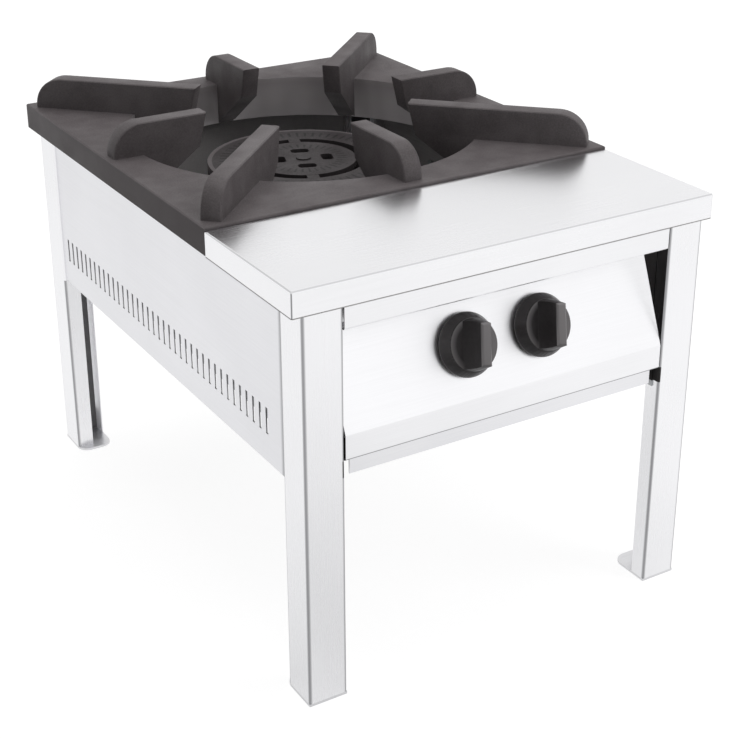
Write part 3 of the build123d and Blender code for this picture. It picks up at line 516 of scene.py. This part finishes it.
# The paler rim is a painted highlight.
rim_highlight_grey = "#575253"
disc_slots, disc_from, disc_to = 36, 40 * mm, 52 * mm
ring_slots, ring_from, ring_to = 60, 85 * mm, 100 * mm
edge_from, edge_to = 109 * mm, 115 * mm


def sawn_slots(tree, angle, radius, count, inner, outer):
    pitches = add(tree, "Math", {0: angle, 1: count / (2 * math.pi)}, operation="MULTIPLY")
    zigzag = add(tree, "Math", {0: pitches.outputs[0], 1: 0.5}, operation="PINGPONG")
    slots = add(tree, "Math", {0: zigzag.outputs[0], 1: slot_share / 2}, operation="LESS_THAN")
    band = ring(tree, radius, inner, outer)
    return add(tree, "Math", {0: slots.outputs[0], 1: band}, operation="MULTIPLY").outputs[0]


def burner_marks(tree, place):
    offset = level_offset(tree, place)
    radius = add(tree, "VectorMath", {0: offset}, operation="LENGTH").outputs["Value"]
    parts = add(tree, "SeparateXYZ", {0: offset})
    angle = add(tree, "Math", {0: parts.outputs[1], 1: parts.outputs[0]}, operation="ARCTAN2").outputs[0]
    return [
        (sawn_slots(tree, angle, radius, disc_slots, disc_from, disc_to), slot_black),
        (sawn_slots(tree, angle, radius, ring_slots, ring_from, ring_to), slot_black),
        (ring(tree, radius, edge_from, edge_to), rim_highlight_grey),
    ]


finishes["burner_cap_iron"] = cast_iron(
    "machined_cast_iron", "#2d292a", "#383435", 0.55, turned_grain, burner_marks)
print("made the burner tops")

# %% [markdown]
# ## Black knobs
# The knobs are moulded in black phenolic plastic, polished when new. Light is painted into it as a pale
# grey on the front of the handle and on the upper edge of the face, wherever these look out along the tap,
# while the hollows beside the handle stay black. The right of each knob is painted paler than its left, and
# the upper half of the skirt a little paler, which is painted light too.
# To find those places, a point is measured from the tap: its height along the tap's axis and its distance
# from it. The two knobs are alike and stand 91 mm apart, so wrapping X at that pitch lets one recipe serve
# both.

# %% Painted light on a knob
knob_pitch = 91 * mm
tap_point = (45.5 * mm, -315.61 * mm, 349 * mm)
tap_axis = (0, -0.929776, 0.368125)
steep_face, flat_face = 0.55, 0.75
skirt_top, handle_foot = 17 * mm, 34 * mm
edge_inside, edge_outside = 20 * mm, 26 * mm
# These set where light is painted on a knob and how much.
lit_from, lit_fully = 325 * mm, 345 * mm
skirt_lit_from, skirt_lit_fully = 340 * mm, 362 * mm
right_lit_from, right_lit_fully = 54 * mm, 62 * mm
edge_light, skirt_light, right_light = 0.7, 0.2, 0.9


def knob_light_places(tree, place):
    parts = add(tree, "SeparateXYZ", {0: place.outputs["Object"]})
    wrapped = add(tree, "Math", {0: parts.outputs[0], 1: knob_pitch, 2: 0.0}, operation="WRAP")
    single = add(tree, "CombineXYZ", {0: wrapped.outputs[0], 1: parts.outputs[1], 2: parts.outputs[2]})
    offset = add(tree, "VectorMath", {0: single.outputs[0], 1: tap_point}, operation="SUBTRACT").outputs[0]
    height = add(tree, "VectorMath", {0: offset, 1: tap_axis}, operation="DOT_PRODUCT").outputs["Value"]
    along = add(tree, "VectorMath", {0: tap_axis, "Scale": height}, operation="SCALE")
    across = add(tree, "VectorMath", {0: offset, 1: along.outputs[0]}, operation="SUBTRACT")
    radius = add(tree, "VectorMath", {0: across.outputs[0]}, operation="LENGTH").outputs["Value"]
    facing = add(tree, "VectorMath", {0: place.outputs["Normal"], 1: tap_axis}, operation="DOT_PRODUCT")
    flat = add(tree, "MapRange", {
        "Value": facing.outputs["Value"], "From Min": steep_face, "From Max": flat_face})
    handle = add(tree, "Math", {0: height, 1: handle_foot}, operation="GREATER_THAN")
    edge = add(tree, "MapRange", {
        "Value": radius, "From Min": edge_inside, "From Max": edge_outside, "To Max": edge_light})
    upper = add(tree, "MapRange", {
        "Value": parts.outputs[2], "From Min": lit_from, "From Max": lit_fully})
    upper_edge = add(tree, "Math", {0: edge.outputs[0], 1: upper.outputs[0]}, operation="MULTIPLY")
    lit_handle_and_edge = add(tree, "Math", {0: handle.outputs[0], 1: upper_edge.outputs[0]}, operation="MAXIMUM")
    painted_light = add(tree, "Math", {0: flat.outputs[0], 1: lit_handle_and_edge.outputs[0]}, operation="MULTIPLY")
    skirt = add(tree, "Math", {0: height, 1: skirt_top}, operation="LESS_THAN")
    skirt_ramp = add(tree, "MapRange", {
        "Value": parts.outputs[2], "From Min": skirt_lit_from, "From Max": skirt_lit_fully, "To Max": skirt_light})
    paler = add(tree, "Math", {0: skirt.outputs[0], 1: skirt_ramp.outputs[0]}, operation="MULTIPLY")
    lit_faces_and_skirt = add(tree, "Math", {0: painted_light.outputs[0], 1: paler.outputs[0]}, operation="MAXIMUM")
    lit_right = add(tree, "MapRange", {
        "Value": wrapped.outputs[0], "From Min": right_lit_from, "From Max": right_lit_fully, "To Max": right_light})
    return add(tree, "Math", {0: lit_faces_and_skirt.outputs[0], 1: lit_right.outputs[0]}, operation="MAXIMUM").outputs[0]


print("knobs lean back", round(math.degrees(math.asin(tap_axis[2])), 1), "degrees")

# %% [markdown]
# The plastic itself has a faint mottle, which varies its black and its polish. Phenolic has an IOR of about
# 1.6, but these knobs are worn and mirror little, so theirs is lower.

# %% Knob plastic
mottle_size = 4 * mm
mottle_spread = 0.06
worn_ior = 1.25


def moulded_plastic(name, dark, light, painted_light, roughness):
    finish, tree = finish_named(name)
    place = add(tree, "TexCoord")
    mottle = add(tree, "TexNoise", {
        "Vector": place.outputs["Object"], "Scale": 1 / mottle_size, "Detail": 2.0})
    black = add(tree, "MixRGB", {
        "Fac": mottle.outputs[0], "Color1": linear(dark), "Color2": linear(light)})
    colour = add(tree, "MixRGB", {
        "Fac": knob_light_places(tree, place), "Color1": black.outputs[0], "Color2": linear(painted_light)})
    rough = add(tree, "MapRange", {
        "Value": mottle.outputs[0],
        "To Min": roughness - mottle_spread, "To Max": roughness + mottle_spread})
    surface = add(tree, "BsdfPrincipled", {
        "Base Color": colour.outputs[0], "Roughness": rough.outputs[0], "IOR": worn_ior})
    add(tree, "OutputMaterial", {"Surface": surface.outputs[0]})
    return finish


# The third colour is the pale grey of the painted light.
finishes["knob_black"] = moulded_plastic("black_phenolic", "#322f30", "#3c393a", "#8a8788", 0.35)
print("made the knob plastic")

# %% [markdown]
# ## Put the finishes on
# Each solid came in with an empty material named for its slot, so the slot's name finds the finish.

# %% Assign
for piece in nodes.values():
    for holder in piece.material_slots:
        holder.material = finishes[holder.material.name]
print("finished", len(nodes), "pieces")

# %% [markdown]
# ## Soft edges on the pan support and knobs
# Castings and mouldings have no knife edges. The solids are right in form, so a copy of each is taken, its
# loose triangles are joined, its flat parts are made single faces again, and a bevel rounds what is left
# sharp. The copy then stands for the solid.

# %% Soften
weld_distance = 0.01 * mm
flat_angle = math.radians(0.5)
sharp_angle = math.radians(28)
casting_edge = 0.8 * mm
moulding_edge = 0.5 * mm
bevel_steps = 2


def softened(node, name, body, slot, width):
    shape = bmesh.new()
    shape.from_mesh(nodes[node].data)
    bmesh.ops.remove_doubles(shape, verts=shape.verts, dist=weld_distance)
    bmesh.ops.dissolve_limit(shape, angle_limit=flat_angle, verts=shape.verts, edges=shape.edges)
    mesh = bpy.data.meshes.new(name)
    shape.to_mesh(mesh)
    shape.free()
    mesh.materials.append(finishes[slot])
    piece = bpy.data.objects.new(name, mesh)
    bpy.context.scene.collection.objects.link(piece)
    for face in mesh.polygons:
        face.use_smooth = True
    bevel = piece.modifiers.new("soft_edges", "BEVEL")
    bevel.width = width
    bevel.segments = bevel_steps
    bevel.limit_method = "ANGLE"
    bevel.angle_limit = sharp_angle
    bevel.harden_normals = True
    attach(piece, body)
    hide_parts(node)
    print(name, len(mesh.polygons), "faces before the bevel")


softened("pan_support", "pan_support_casting", "pan_support", "pan_support_iron", casting_edge)
softened("left_knob", "left_knob_moulding", "left_knob", "knob_black", moulding_edge)
softened("right_knob", "right_knob_moulding", "right_knob", "knob_black", moulding_edge)

# %% [markdown]
# ## Inlet thread
# The stub at the back takes a half-inch hose union, so its end has a pipe thread of 14 turns to the inch.
# A bump map would do from afar, but the thread shows against the light. Spinning one small triangle round
# the pipe while it moves along makes the real helix.

# %% Thread
thread_pitch = 25.4 / 14 * mm
thread_turns = 10
steps_per_turn = 20
thread_start = Vector((150 * mm, 344.2 * mm, 303 * mm))
crest_half = 0.6 * mm
root_radius, crest_radius = 10.3 * mm, 10.95 * mm
crest = bmesh.new()
corners = [
    crest.verts.new(thread_start + Vector((0, along, up)))
    for along, up in ((-crest_half, root_radius), (0, crest_radius), (crest_half, root_radius))]
for i in range(3):
    crest.edges.new((corners[i], corners[(i + 1) % 3]))
bmesh.ops.spin(
    crest, geom=crest.verts[:] + crest.edges[:], cent=thread_start, axis=(0, 1, 0),
    dvec=(0, thread_pitch / steps_per_turn, 0), angle=2 * math.pi * thread_turns,
    steps=thread_turns * steps_per_turn)
bmesh.ops.holes_fill(crest, edges=crest.edges, sides=3)
bmesh.ops.recalc_face_normals(crest, faces=crest.faces)
thread_mesh = bpy.data.meshes.new("inlet_thread")
crest.to_mesh(thread_mesh)
crest.free()
thread_mesh.materials.append(finishes["zinc_steel"])
thread = bpy.data.objects.new("inlet_thread", thread_mesh)
bpy.context.scene.collection.objects.link(thread)
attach(thread, "stove")
thread_y = [v.co.y / mm for v in thread_mesh.vertices]
print("thread of", len(thread_mesh.polygons), "faces")
print("it runs from", round(min(thread_y), 1), "to", round(max(thread_y), 1), "mm")

# %% [markdown]
# ## The studio
# The stove stands on a pale floor that runs out of the picture. The floor is lit like anything else, so it
# takes a soft shadow, and seen directly it also glows, a little more far off, which makes it white as far
# as the room's walls. In the steel it glows less, and least in one soft round shade before the left front
# leg.

# %% Floor
floor_half = 8.0
floor_grey = "#8c8c8c"
white = "#ffffff"
shade_middle, shade_radius = (-0.15, -0.5, 0), 0.6
glow_in_shade, glow_in_steel = 0.58, 0.8
near_glow, far_glow = 0.86, 1.0
near_end, far_end = 1.5, 3.5


def seen_directly(tree, path):
    return add(tree, "Math", {
        0: path.outputs["Is Camera Ray"],
        1: path.outputs["Is Transmission Ray"]}, operation="MAXIMUM").outputs[0]


floor_shape = bmesh.new()
bmesh.ops.create_grid(floor_shape, x_segments=1, y_segments=1, size=floor_half)
floor_mesh = bpy.data.meshes.new("floor")
floor_shape.to_mesh(floor_mesh)
floor_shape.free()
floor = bpy.data.objects.new("floor", floor_mesh)
bpy.context.scene.collection.objects.link(floor)

floor_paint, tree = finish_named("pale_floor")
path = add(tree, "LightPath")
place = add(tree, "TexCoord")
from_shade = add(tree, "VectorMath", {0: place.outputs["Object"], 1: shade_middle}, operation="DISTANCE")
mirrored = add(tree, "MapRange", {
    "Value": from_shade.outputs["Value"], "From Max": shade_radius,
    "To Min": glow_in_shade, "To Max": glow_in_steel})
in_steel = add(tree, "Math", {
    0: path.outputs["Is Glossy Ray"], 1: mirrored.outputs[0]}, operation="MULTIPLY")
away = add(tree, "VectorMath", {0: place.outputs["Object"]}, operation="LENGTH")
direct = add(tree, "MapRange", {
    "Value": away.outputs["Value"], "From Min": near_end, "From Max": far_end,
    "To Min": near_glow, "To Max": far_glow})
in_view = add(tree, "Math", {0: seen_directly(tree, path), 1: direct.outputs[0]}, operation="MULTIPLY")
glow = add(tree, "Math", {0: in_steel.outputs[0], 1: in_view.outputs[0]}, operation="MAXIMUM")
matt = add(tree, "BsdfDiffuse", {"Color": linear(floor_grey)})
light = add(tree, "Emission", {"Color": linear(white), "Strength": glow.outputs[0]})
lit_floor = add(tree, "AddShader", {0: matt.outputs[0], 1: light.outputs[0]})
add(tree, "OutputMaterial", {"Surface": lit_floor.outputs[0]})
floor_mesh.materials.append(floor_paint)
print("floor", floor.dimensions.x, "m wide")

# %% [markdown]
# The room is white to the eye. In the steel its front wall is a little brighter than its back wall, and as
# a lamp it is much dimmer, so that the castings keep their shadows.

# %% Room
front_wall, back_wall = 1.12, 0.92
wall_blend = 0.9
room_light = (0.3, 0.3, 0.3, 1)

room = bpy.data.worlds.new("studio")
bpy.context.scene.world = room
room.use_nodes = True
tree = room.node_tree
tree.nodes.clear()
path = add(tree, "LightPath")
direction = add(tree, "TexCoord")
parts = add(tree, "SeparateXYZ", {0: direction.outputs["Generated"]})
wall = add(tree, "MapRange", {
    "Value": parts.outputs[1], "From Min": -wall_blend, "From Max": wall_blend,
    "To Min": front_wall, "To Max": back_wall})
lit_room = add(tree, "MixRGB", {
    "Fac": path.outputs["Is Glossy Ray"], "Color1": room_light, "Color2": wall.outputs[0]})
level = add(tree, "MixRGB", {
    "Fac": seen_directly(tree, path), "Color1": lit_room.outputs[0], "Color2": linear(white)})
background = add(tree, "Background", {"Color": level.outputs[0], "Strength": 1.0})
add(tree, "OutputWorld", {"Surface": background.outputs[0]})
print("room from", back_wall, "to", front_wall, "in the steel")

# %% [markdown]
# Beside each end of the control panel a front leg is open towards it, and the pale panel would mirror the
# dark hollow. The lip inside a rear leg would mirror the leg's own dark wall. In a studio a small white
# card is hidden in such places. Here the cards show in reflections alone, and their backs are dimmer than
# their fronts. A card is a flat grid, stood upright to look forwards and then turned.

# %% White cards
front_card_place, front_card_size = (196 * mm, -313.5 * mm, 377 * mm), (40 * mm, 155 * mm)
rear_card_place, rear_card_size = (208 * mm, 333.5 * mm, 142 * mm), (22 * mm, 216 * mm)
card_white = "#fafafa"
front_shine, back_shine = 1.0, 0.35


def add_card(shape, side, place, size, turn):
    middle = Matrix.Translation((side * place[0], place[1], place[2]))
    upright = Matrix.Rotation(math.radians(turn), 4, "Z") @ Matrix.Rotation(math.radians(90), 4, "X")
    bmesh.ops.create_grid(
        shape, x_segments=1, y_segments=1, size=0.5,
        matrix=middle @ upright @ Matrix.Diagonal((size[0], size[1], 1, 1)))


card_shape = bmesh.new()
for side in (-1, 1):
    add_card(card_shape, side, front_card_place, front_card_size, -90 * side)
    add_card(card_shape, side, rear_card_place, rear_card_size, 0)
card_mesh = bpy.data.meshes.new("white_cards")
card_shape.to_mesh(card_mesh)
card_shape.free()
cards = bpy.data.objects.new("white_cards", card_mesh)
bpy.context.scene.collection.objects.link(cards)
cards.visible_camera = False
cards.visible_diffuse = False
cards.visible_shadow = False
paper, tree = finish_named("white_paper")
side_seen = add(tree, "NewGeometry")
strength = add(tree, "MapRange", {
    "Value": side_seen.outputs["Backfacing"], "To Min": front_shine, "To Max": back_shine})
shine = add(tree, "Emission", {"Color": linear(card_white), "Strength": strength.outputs[0]})
add(tree, "OutputMaterial", {"Surface": shine.outputs[0]})
card_mesh.materials.append(paper)
print(len(card_mesh.polygons), "white cards")

# %% [markdown]
# Two large soft lamps give the castings their form: one overhead, and one from the front right.
# The steel doesn't mirror the lamps themselves, because their glare would burn out the pale sheet.

# %% Lamps
def softbox(name, place, target, size, power):
    lamp = bpy.data.lights.new(name, "AREA")
    lamp.shape = "SQUARE"
    lamp.size = size
    lamp.energy = power
    box = bpy.data.objects.new(name, lamp)
    box.matrix_world = (
        Matrix.Translation(Vector(place))
        @ (Vector(target) - Vector(place)).to_track_quat("-Z", "Y").to_matrix().to_4x4())
    box.visible_glossy = False
    bpy.context.scene.collection.objects.link(box)


softbox("overhead_softbox", place=(0.2, 0.3, 2.8), target=(0, 0.1, 0.4), size=3.0, power=48)
softbox("front_softbox", place=(1.9, -2.0, 2.2), target=(0, -0.1, 0.3), size=1.6, power=24)
bpy.context.scene.view_settings.view_transform = "Standard"
print("two softboxes")
